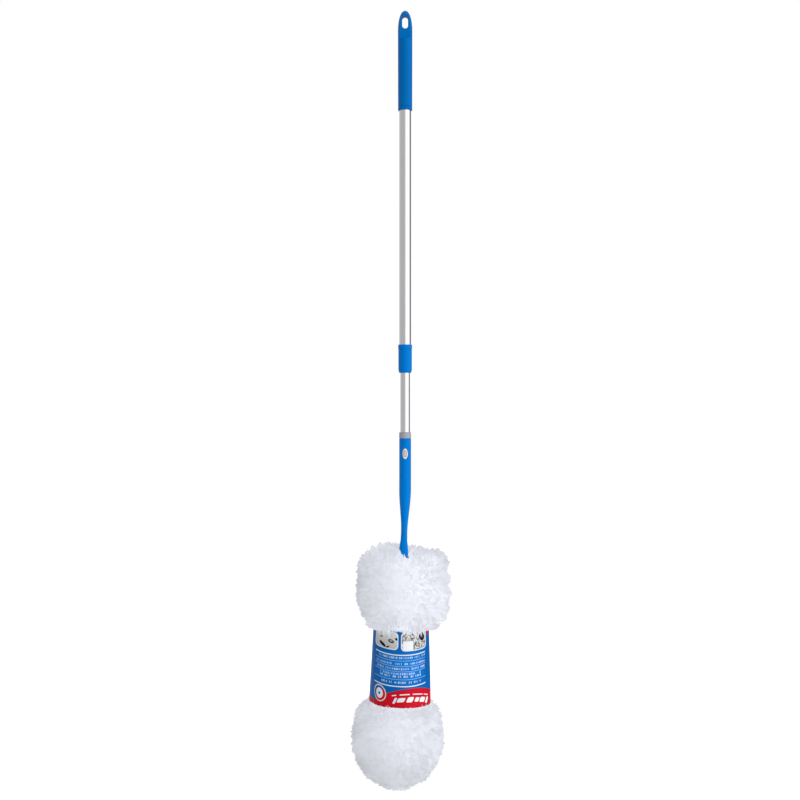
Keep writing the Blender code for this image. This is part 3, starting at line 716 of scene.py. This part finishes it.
class Tufts:
    """Strand paths gathered tuft by tuft, then built as one mesh of closed three-sided strands."""

    # Places along a strand, and its width at each
    STEPS = (0.0, 0.52, 1.0)
    TAPER = (0.90, 1.0, 0.0)

    # The share of strands that stray, and how much further than the rest
    STRAYS = 0.16
    STRAY_REACH = 2.6

    def __init__(self, rng):
        self.rng = rng
        self.paths = []
        self.outward = []
        self.widths = []

    def add(self, root, normal, lean, length, spread, gather, strands, width=1.0):
        """One tuft: strands rise along the normal, bend towards lean and draw together at the tip."""
        rng = self.rng
        side = unit(np.cross(normal, rng.normal(size=3)))
        other = np.cross(normal, side)
        turn = rng.uniform(0, 2 * math.pi, strands)
        out = spread * np.sqrt(rng.uniform(0, 1, strands))
        offset = (out * np.cos(turn))[:, None] * side + (out * np.sin(turn))[:, None] * other
        tip = root + normal * length * 0.80 + lean * length * 0.70
        stray = rng.normal(size=(strands, 3)) * (gather * 0.55)
        wild = rng.uniform(0, 1, strands) < self.STRAYS
        stray[wild] *= self.STRAY_REACH
        starts = root + offset
        ends = tip + offset * (gather / spread) + stray
        length_jitter = rng.uniform(0.82, 1.06, strands)[:, None]
        ends = starts + (ends - starts) * length_jitter
        middle = starts + normal * length * 0.55 + rng.normal(size=(strands, 3)) * length * 0.05
        t = np.array(self.STEPS)[None, :, None]
        bend = 2 * t * (1 - t) * middle[:, None]
        self.paths.append((1 - t) ** 2 * starts[:, None] + bend + t**2 * ends[:, None])
        self.outward.append(np.broadcast_to(normal, (strands, 3)))
        self.widths.append(rng.uniform(0.7, 1.2, strands) * width)

    def lie(self, move, face_front=None):
        """Moves every strand to how the pile lies, and turns the shading of pressed tufts forwards."""
        if face_front:
            front = np.array([0.0, -1.0, 0.0])
            turns = [face_front(path[:, 0])[:, None] for path in self.paths]
            self.outward = [unit(o + turn * front) for o, turn in zip(self.outward, turns)]
        self.paths = [move(path) for path in self.paths]

    def build(self, name, material, place):
        """Pieces with equal shares of the strands, from the top down."""
        paths = np.concatenate(self.paths)
        outward = np.concatenate(self.outward)
        widths = np.concatenate(self.widths) * STRAND_R
        order = np.argsort(-paths[:, 0, 2], kind="stable")
        pieces = []
        for number, chosen in enumerate(np.array_split(order, PIECES_PER_BALL)):
            given = (paths[chosen], outward[chosen], widths[chosen])
            pieces.append(self.build_piece(f"{name}_{number + 1}", *given, material, place))
        return pieces

    def build_piece(self, name, paths, outward, widths, material, place):
        count, steps = paths.shape[:2]
        ahead = unit(np.gradient(paths, axis=1))
        side = unit(np.cross(ahead, outward[:, None]))
        up = np.cross(ahead, side)
        corners = np.array([math.pi / 2 + 2 * math.pi * k / 3 for k in range(3)])
        taper = np.array(self.TAPER)[None, :, None, None] * widths[:, None, None, None]
        spoke = (np.cos(corners)[None, None, :, None] * side[:, :, None]
                 + np.sin(corners)[None, None, :, None] * up[:, :, None])
        rings = paths[:, :, None] + spoke * taper
        body = rings[:, :-1].reshape(count, -1, 3)
        verts = np.concatenate([body, paths[:, -1:]], axis=1)
        per = verts.shape[1]
        faces = self.strand_faces(steps - 1)
        every = [tuple(f + s * per for f in face) for s in range(count) for face in faces]
        made = add_mesh(name, verts.reshape(-1, 3).tolist(), every, material, place)
        self.shade(made, spoke, outward, place)
        reach = np.repeat(np.array(self.STEPS[:-1]), 3).tolist() + [1.0]
        mark_reach(made, np.tile(reach, count))
        return made

    @staticmethod
    def strand_faces(rings):
        """Faces of one strand: quads between rings, a closed root and a point."""
        faces = [(2, 1, 0)]
        for ring in range(rings - 1):
            for k in range(3):
                a, b = ring * 3 + k, ring * 3 + (k + 1) % 3
                faces.append((a, b, b + 3, a + 3))
        last, tip = (rings - 1) * 3, rings * 3
        for k in range(3):
            faces.append((last + k, last + (k + 1) % 3, tip))
        return faces

    @staticmethod
    def shade(made, spoke, outward, place):
        """Blends each strand's own normals with its tuft's."""
        own = spoke[:, :-1].reshape(len(outward), -1, 3)
        own = np.concatenate([own, outward[:, None]], axis=1)
        blended = unit(own * (1 - SOFTNESS) + outward[:, None] * SOFTNESS).reshape(-1, 3)
        turn = np.array(place.to_3x3())
        made.data.normals_split_custom_set_from_vertices((blended @ turn.T).tolist())


def offset_profile(outline, inset, low, high, steps):
    """Points (radius, height) and outward normals (radial, up) of an outline moved inwards."""
    z = np.linspace(high, low, steps)
    r = outline.radius(z)
    slope_r, slope_z = np.gradient(r), np.gradient(z)
    normal = unit(np.stack([-slope_z, slope_r], axis=1))
    radial = r - normal[:, 0] * inset
    height = z - normal[:, 1] * inset
    return radial, height, normal


def wave_field(rng):
    """A smooth random value over a body, as a function of angle and height."""
    waves = []
    for _ in range(SWIRL_WAVES):
        waves.append((rng.integers(0, 8), rng.uniform(-200, 200), rng.uniform(0, 2 * math.pi)))

    def field(angle, height):
        total = sum(math.sin(turns * angle + rise * height + phase) for turns, rise, phase in waves)
        return total / math.sqrt(SWIRL_WAVES / 2)

    return field


def grow_ball(tufts, radii, heights, normals, hang, rng):
    """Soft fur all over a profile with pointed tufts through it. hang(height) leans them downwards."""
    sideways, downwards = wave_field(rng), wave_field(rng)
    for coat in (FUR, SPIKES):
        shorter = 0.30 if coat is FUR else 0.06
        for point, normal, around, down, a in tuft_sites(radii, heights, normals, rng, coat.pitch):
            if inside_mouth(point) and normal[2] > 0.3:
                continue
            z = point[2]
            swirl = around * (0.15 * sideways(a, z) + rng.normal(0, 0.22))
            swirl = swirl + down * (hang(z) + 0.12 * downwards(a, z) + rng.normal(0, 0.20))
            length = coat.length * rng.uniform(0.80, 1.12)
            on_top, below = smoothstep(0.5, 0.9, normal[2]), smoothstep(0.4, 1.0, -normal[2])
            length *= 1 - shorter * on_top - 0.30 * below
            gather = coat.gather * rng.uniform(0.7, 1.3)
            root = point - normal * ROOT_SINK
            tufts.add(root, normal, swirl, length, coat.spread, gather, coat.strands)


def inside_mouth(point):
    return (point[0] / MOUTH_HALF[0]) ** 2 + (point[1] / MOUTH_HALF[1]) ** 2 < 1


def tuft_sites(radii, heights, normals, rng, pitch):
    """Jittered sites in rings along a profile, about a pitch apart.

    Yields point, normal, the two tangents and the angle round the head.
    """
    tip_r = radii + normals[:, 0] * SPIKES.length
    tip_z = heights + normals[:, 1] * SPIKES.length
    run = np.concatenate([[0], np.cumsum(np.hypot(np.diff(tip_r), np.diff(tip_z)))])
    rows = max(int(run[-1] / pitch), 1)
    for row in range(rows + 1):
        at = run[-1] * row / rows
        r = np.interp(at, run, radii)
        z = np.interp(at, run, heights)
        n_r = np.interp(at, run, normals[:, 0])
        n_z = np.interp(at, run, normals[:, 1])
        count = max(int(2 * math.pi * (r + 0.5 * n_r * SPIKES.length) / pitch), 3)
        shift = rng.uniform(0, 2 * math.pi)
        for i in range(count):
            a = shift + 2 * math.pi * (i + rng.uniform(-0.35, 0.35)) / count
            lift = rng.uniform(-0.35, 0.35) * pitch
            out, around = compass(a)
            normal = unit(out * n_r + upwards(n_z))
            down = np.cross(around, normal)
            yield out * r + upwards(z) + down * lift, normal, around, down, a


def make_materials(nodes):
    blue_gloss = (0.03, 0.35, 0.80)
    grip = moulded_plastic("grip_blue", (0.0005, 0.147, 0.485), 0.42, tint=blue_gloss)
    handle = moulded_plastic("handle_blue", (0.0008, 0.200, 0.680), 0.40, tint=blue_gloss)
    grey = moulded_plastic("adapter_grey", (0.380, 0.400, 0.465), 0.45)
    white = moulded_plastic("bezel_white", (0.94, 0.95, 0.97), 0.30, shade=0.03)
    tan = moulded_plastic("button_tan", (0.66, 0.56, 0.47), 0.40)
    nylon = moulded_plastic("nylon_white", (0.78, 0.78, 0.75), 0.50, shade=0.03)
    aluminium = anodised_aluminium()
    steel = bright_steel()
    finishes = {
        "hanging_grip": grip,
        "outer_tube": aluminium,
        "inner_tube": aluminium,
        "tube_collar": handle,
        "handle_shell": handle,
        "guide_bush": nylon,
        "lock_plug": nylon,
        "lock_collet": nylon,
        "core_sheath": nylon,
        "sheath_tip_cap": nylon,
        "retaining_clip": steel,
        "button_spring": steel,
        "core_strip": steel,
        "pole_adapter": grey,
        "button_bezel": white,
        "snap_button": tan,
    }
    for name, material in finishes.items():
        nodes[name].data.materials.clear()
        nodes[name].data.materials.append(material)


def make_spring(frame):
    """The release button's spring, the same as in the model, as a copy on the button joint's parent body.
    """
    press = next(j for j in frame["record"]["behaviour"]["joints"] if j["name"] == "button_press")
    spring = bpy.data.objects.new("coil_spring", frame["nodes"]["button_spring"].data.copy())
    bpy.context.collection.objects.link(spring)
    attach(spring, press["parent"])
    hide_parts("button_spring")
    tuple(press["axis"])
    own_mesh(spring)


def finish_piece(piece, replaced=(), slot="microfibre"):
    """Puts a piece on the sleeve's body. Fibre casts no shade, as light passes between real fibres."""
    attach(piece, "fibre_sleeve")
    if slot == "microfibre":
        piece.visible_shadow = False
        piece.visible_diffuse = False
    if replaced:
        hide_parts(*replaced)


def make_head(nodes, place, rng):
    to_head = place.inverted()
    fibre = microfibre("microfibre", (0.535, 0.5535, 0.615), 0.93)
    upper = Outline(nodes["pile_upper"], to_head)
    lower = Outline(nodes["pile_lower"], to_head)
    waist = Outline(nodes["pile_waist"], to_head)
    make_upper_ball(upper, waist, fibre, place, rng)
    make_lower_ball(lower, waist, fibre, place, rng)
    make_waist(waist, fibre, place, rng)
    make_label(waist, place, rng)
    make_lining(nodes, place, to_head, rng)


def parting_depth(points):
    """How far the handle's foot presses the fibre down at the front, a little less towards the rim."""
    x, y = points[..., 0], points[..., 1]
    reach = smoothstep(0.002, -0.007, y) * (1 - 0.22 * smoothstep(-0.012, -0.050, y))
    return np.interp(x, PARTING_X, PARTING_DEPTH) * reach


def hump(value, centre, width):
    """1 at the centre, falling smoothly to almost nothing two widths away."""
    return np.exp(-(((value - centre) / width) ** 2))


def groom(points, top, bottom):
    """How the upper ball lies.

    Its top tilts, the handle's foot has parted it at the front, and its lower rim is drawn up round
    the card.
    """
    x, y, z = points[..., 0], points[..., 1], points[..., 2]
    tilt = np.interp(x, TILT_X, TILT_RISE) * smoothstep(top - 0.040, top - 0.004, z)
    parting = parting_depth(points) * smoothstep(top - 0.038, top - 0.008, z)
    bulge = BULGE * smoothstep(0.0, 0.05, x) * hump(z, top - 0.065, 0.022)
    cheek = CHEEK * smoothstep(0.036, 0.056, x) * hump(z, bottom + 0.010, 0.013)
    tuck = TUCK * smoothstep(-0.036, -0.056, x) * hump(z, bottom + 0.022, 0.013)
    lobes = LOBE_DEPTH * np.cos(2 * math.pi * (z - LOBE_Z) / LOBE_PITCH) * smoothstep(0.02, 0.055, x)
    lobes *= smoothstep(bottom + 0.018, bottom + 0.034, z) * smoothstep(top - 0.010, top - 0.022, z)
    level = bottom + RIM_RISE
    drawn = np.where(z < level, (level - z) * RIM_SHARE, 0.0)
    return np.stack([x + bulge + cheek + lobes + tuck, y, z + tilt - parting + drawn], axis=-1)


def settle(points, bottom):
    """How the lower ball lies: its end is pressed a little flat."""
    level = bottom + FLAT_RISE
    z = points[..., 2]
    flat = np.where(z < level, level - (level - z) * FLAT_SHARE, z)
    return np.concatenate([points[..., :2], flat[..., None]], axis=-1)


def mouth_ring(tufts, top, rng):
    """Tufts that stand round the handle's foot."""
    for i in range(MOUTH_TUFTS):
        a = 2 * math.pi * (i + rng.uniform(-0.3, 0.3)) / MOUTH_TUFTS
        out, _ = compass(a)
        root = out * (*MOUTH_RING, 0.0) + upwards(top - MOUTH_DEPTH)
        lean = -0.22 * out + rng.normal(0, 0.15, 3)
        length = MOUTH_LENGTH * rng.uniform(0.8, 1.1)
        tufts.add(root, upwards(1.0), lean, length, spread=0.0024, gather=0.0012, strands=14)


def make_upper_ball(outline, waist, fibre, place, rng):
    top, bottom = outline.z[-1], outline.z[0]
    neck = waist.r[-1] + CARD_T + 0.0022
    radii, heights, normals = offset_profile(outline, CORE_INSET, bottom + 0.0075, top - 0.0008, 48)

    def lie(points):
        return groom(points, top, bottom)

    def hang(z):
        return 0.05 + 0.15 * smoothstep(top - 0.02, bottom, z)

    core = [(0.016, top - 0.022), (0.020, top - 0.012)]
    core += [(r, z) for r, z in zip(radii, heights) if r > 0.0225]
    core += [(neck, bottom + 0.006), (neck - 0.004, bottom + 0.012)]
    finish_piece(make_core("upper_core", core, rng, fibre, place, lie))

    tufts = Tufts(rng)
    grow_ball(tufts, radii, heights, normals, hang, rng)
    mouth_ring(tufts, top, rng)
    fringe(tufts, neck, bottom + 0.0085, rng)
    tufts.lie(lie, face_front=lambda roots: 60.0 * parting_depth(roots))
    for fibres in tufts.build("upper_fibres", fibre, place):
        finish_piece(fibres, ["pile_upper"])


def fringe(tufts, radius, height, rng):
    """Loose strands that hang over the card's top edge in locks, shorter at its sides."""
    count = int(2 * math.pi * radius / FRINGE_PITCH)
    for row in range(FRINGE_ROWS):
        for i in range(count):
            a = 2 * math.pi * (i + rng.uniform(-0.4, 0.4) + 0.5 * row) / count
            out, around = compass(a)
            root = out * (radius + 0.0008 + 0.0012 * row) + upwards(height + FRINGE_DROP * row)
            lean = upwards(-1.0) + around * rng.normal(0, 0.22)
            lock = 0.60 + 0.40 * math.cos(FRINGE_LOCKS * a + FRINGE_TURN)
            at_side = 1 - 0.70 * abs(out[0]) ** 3
            length = FRINGE_LENGTH * lock * rng.uniform(0.45, 1.10) * at_side
            rise = out * 0.28 + upwards(-0.3)
            tufts.add(root, rise, lean, length, spread=0.0020, gather=0.0007, strands=10, width=1.3)


def collar(tufts, radius, height, rng):
    """Short tufts that stand up round the card's lower edge."""
    count = int(2 * math.pi * radius / COLLAR_PITCH)
    for i in range(count):
        if rng.uniform() < COLLAR_SKIPPED:
            continue
        a = 2 * math.pi * (i + rng.uniform(-0.4, 0.4)) / count
        out, _ = compass(a)
        lean = upwards(0.6) + rng.normal(0, 0.2, 3)
        root = out * radius + upwards(height)
        length = COLLAR_LENGTH * rng.uniform(0.4, 1.3)
        rise = out * 0.35 + upwards(0.5)
        tufts.add(root, rise, lean, length, spread=0.0024, gather=0.0014, strands=10)


def make_lower_ball(outline, waist, fibre, place, rng):
    top, bottom = outline.z[-1], outline.z[0]
    radii, heights, normals = offset_profile(outline, CORE_INSET, bottom + 0.0004, top - 0.0010, 56)

    def lie(points):
        return settle(points, bottom)

    def hang(z):
        return 0.12 - 0.25 * smoothstep(top - 0.05, bottom, z)

    core = [(0.030, top - 0.006)] + [(r, z) for r, z in zip(radii, heights) if r > 0.004]
    finish_piece(make_core("lower_core", core, rng, fibre, place, lie))

    tufts = Tufts(rng)
    grow_ball(tufts, radii, heights, normals, hang, rng)
    collar(tufts, waist.r[0] + 0.0024, waist.z[0] - 0.0022, rng)
    tufts.lie(lie)
    for fibres in tufts.build("lower_fibres", fibre, place):
        finish_piece(fibres, ["pile_lower"])


def make_waist(waist, fibre, place, rng):
    """Fibre squeezed flat inside the card."""
    top, bottom = waist.z[-1], waist.z[0]
    profile = [(waist.radius(z) - 0.0028, z) for z in np.linspace(top + 0.010, bottom - 0.010, 40)]
    body = make_core("waist_core", profile, rng, fibre, place)
    finish_piece(body, ["pile_waist"])


def card_point(waist, turn, share, phase):
    """A point on the card's outside, at an angle from the front and a share of the height from the foot."""
    z = waist.z[0] + (waist.z[-1] - waist.z[0]) * share
    lapped = smoothstep(math.pi - CARD_LAP * 1.6, math.pi - CARD_LAP * 0.4, turn)
    wave = 0.00035 * math.sin(3 * turn + phase[0]) + 0.00022 * math.sin(5 * turn + 2 * share + phase[1])
    rim = 0.0005 * (1 - share) ** 3 * math.sin(7 * turn + phase[2])
    r = waist.radius(z) + CARD_GAP + CARD_T + wave + rim + CARD_LAP_RISE * lapped
    edge = 0.0003 * math.sin(4 * turn + phase[3]) * (1 - 2 * min(share, 1 - share))
    return r * math.sin(turn) + CARD_SKEW * (1 - share), -r * math.cos(turn), z + edge


def make_label(waist, place, rng):
    """Card wrapped into a cone with a lapped seam at the back, its edges a little wavy."""
    height = waist.z[-1] - waist.z[0]
    half_turn = math.pi + CARD_LAP / 2
    phase = rng.uniform(0, 2 * math.pi, 6)
    verts, uvs = [], []
    for share in np.linspace(0.0, 1.0, CARD_ROWS + 1):
        for turn in np.linspace(-half_turn, half_turn, CARD_COLUMNS + 1):
            verts.append(card_point(waist, turn, share, phase))
            uvs.append((turn * PRINT_RADIUS, height * share + PRINT_BOW * math.cos(turn)))
    faces = []
    stride = CARD_COLUMNS + 1
    for row in range(CARD_ROWS):
        for column in range(CARD_COLUMNS):
            first = row * stride + column
            faces.append((first, first + 1, first + 1 + stride, first + stride))
    label = add_mesh("label_card", verts, faces, label_card(), place)
    label.data.materials.append(card_board())
    layer = label.data.uv_layers.new(name="card")
    corners = np.array([uvs[loop.vertex_index] for loop in label.data.loops], np.float32)
    layer.data.foreach_set("uv", corners.ravel())
    thick = label.modifiers.new("board", "SOLIDIFY")
    thick.thickness = CARD_T
    thick.offset = -1.0
    thick.material_offset = 1
    thick.material_offset_rim = 1
    finish_piece(label, ["label_sleeve"], slot="label_card")


def make_lining(nodes, place, to_head, rng):
    cloth = woven_cloth("lining_cloth", (0.82, 0.84, 0.88), WEAVE_SCALE)
    elastic = woven_cloth("band_elastic", (0.80, 0.82, 0.87), ELASTIC_SCALE)
    pocket = tube_of_cloth("lining_pocket", nodes["lining_sleeve"], cloth, place, to_head, rng, 0.0)
    finish_piece(pocket, ["lining_sleeve"], slot="lining_cloth")
    band = tube_of_cloth("gathered_band", nodes["mouth_band"], elastic, place, to_head, rng, 0.0004)
    finish_piece(band, ["mouth_band"], slot="lining_cloth")


def tube_of_cloth(name, node, material, place, to_head, rng, ruffle):
    """An oval cloth tube where the CAD solid is, with soft wrinkles or gathers."""
    points = np.array([to_head @ v.co for v in node.data.vertices])
    low, high = points.min(0), points.max(0)
    half_x, half_y = high[:2] - CLOTH_INSET
    rows = max(int((high[2] - low[2]) / CLOTH_STEP), 8)
    phase = rng.uniform(0, 2 * math.pi, 4)
    verts = []
    for row in range(rows + 1):
        z = high[2] + (low[2] - high[2]) * row / rows
        for side in range(CLOTH_SIDES):
            a = 2 * math.pi * side / CLOTH_SIDES
            fold = 0.0002 * math.sin(5 * a + 240 * z + phase[0]) + ruffle * math.sin(24 * a)
            verts.append(((half_x + fold) * math.cos(a), (half_y + fold) * math.sin(a), z))
    made = add_mesh(name, verts, ring_faces(rows, CLOTH_SIDES), material, place)
    made.modifiers.new("cloth", "SOLIDIFY").thickness = CLOTH_T
    return made


# ---------------------------------------------------------------- studio


def level_ramp(sky, value, reach, stops):
    """A light level from (position, level) stops, where positions -1 to 1 stand for -reach to reach."""
    ramp = sky.add("ShaderNodeValToRGB")
    sky.plug(ramp.inputs["Fac"], sky.ramp(value, 0.0, 1.0, -reach, reach))
    elements = ramp.color_ramp.elements
    elements.remove(elements[0])
    for number, (position, level) in enumerate(stops):
        stop = elements[0] if number == 0 else elements.new((position + 1) / 2)
        stop.position = (position + 1) / 2
        stop.color = (level, level, level, 1.0)
    return ramp.outputs["Color"]


def make_world():
    """A white surround to look at, and soft boxes round the object as its light.

    The light's strength follows the direction round the pole: 0 degrees is the front, 90 the right.
    """
    world = bpy.data.worlds.new("studio")
    bpy.context.scene.world = world
    world.use_nodes = True
    sky = Tree(world.node_tree)
    split = sky.add("ShaderNodeSeparateXYZ")
    sky.plug(split.inputs["Vector"], sky.add("ShaderNodeTexCoord").outputs["Generated"])
    turn = sky.math("ARCTAN2", split.outputs["X"], sky.times(split.outputs["Y"], -1.0))
    round_pole = level_ramp(sky, turn, math.pi, [(angle / 180, level) for angle, level in SOFT_BOXES])
    by_height = level_ramp(sky, split.outputs["Z"], 1.0, SOFT_HEIGHTS)
    light = sky.tree.nodes["Background"]
    sky.plug(light.inputs["Color"], WHITE)
    sky.plug(light.inputs["Strength"], sky.times(round_pole, by_height))
    seen = sky.add("ShaderNodeBackground")
    sky.plug(seen.inputs["Color"], WHITE)
    chosen = sky.add("ShaderNodeMixShader")
    sky.plug(chosen.inputs["Fac"], sky.add("ShaderNodeLightPath").outputs["Is Camera Ray"])
    sky.plug(chosen.inputs[1], light.outputs[0])
    sky.plug(chosen.inputs[2], seen.outputs[0])
    sky.plug(sky.tree.nodes["World Output"].inputs["Surface"], chosen.outputs[0])


def make_floor():
    """Pale studio floor, well below the pole at its longest."""
    bm = bmesh.new()
    bmesh.ops.create_circle(bm, cap_ends=True, segments=96, radius=FLOOR_RADIUS)
    mesh = bpy.data.meshes.new("studio_floor")
    bm.to_mesh(mesh)
    bm.free()
    floor = bpy.data.objects.new("studio_floor", mesh)
    bpy.context.collection.objects.link(floor)
    floor.location.z = FLOOR_Z
    nodes = Nodes("studio_floor")
    nodes.set(Base_Color=(0.9, 0.9, 0.9, 1.0), Roughness=0.9)
    nodes.set(Emission_Color=WHITE, Emission_Strength=0.6)
    mesh.materials.append(nodes.material)
    floor.visible_glossy = False
    floor.visible_diffuse = False


def make_studio():
    make_world()
    make_floor()
    data = bpy.data.cameras.new("camera")
    data.sensor_width = SENSOR
    data.lens = SENSOR / 2 * CAMERA_DISTANCE / VIEW_HALF_WIDTH
    camera = bpy.data.objects.new("camera", data)
    bpy.context.collection.objects.link(camera)
    camera.location = (CAMERA_X, -CAMERA_DISTANCE, CAMERA_HEIGHT)
    camera.rotation_euler = (math.radians(90), 0.0, 0.0)
    bpy.context.scene.camera = camera
    bpy.context.scene.view_settings.view_transform = "Standard"


def main():
    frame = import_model()
    place = head_matrix(frame)
    nodes = frame["nodes"]
    rng = np.random.default_rng(SEED)

    make_materials(nodes)
    make_spring(frame)
    make_head(nodes, place, rng)
    make_studio()


main()
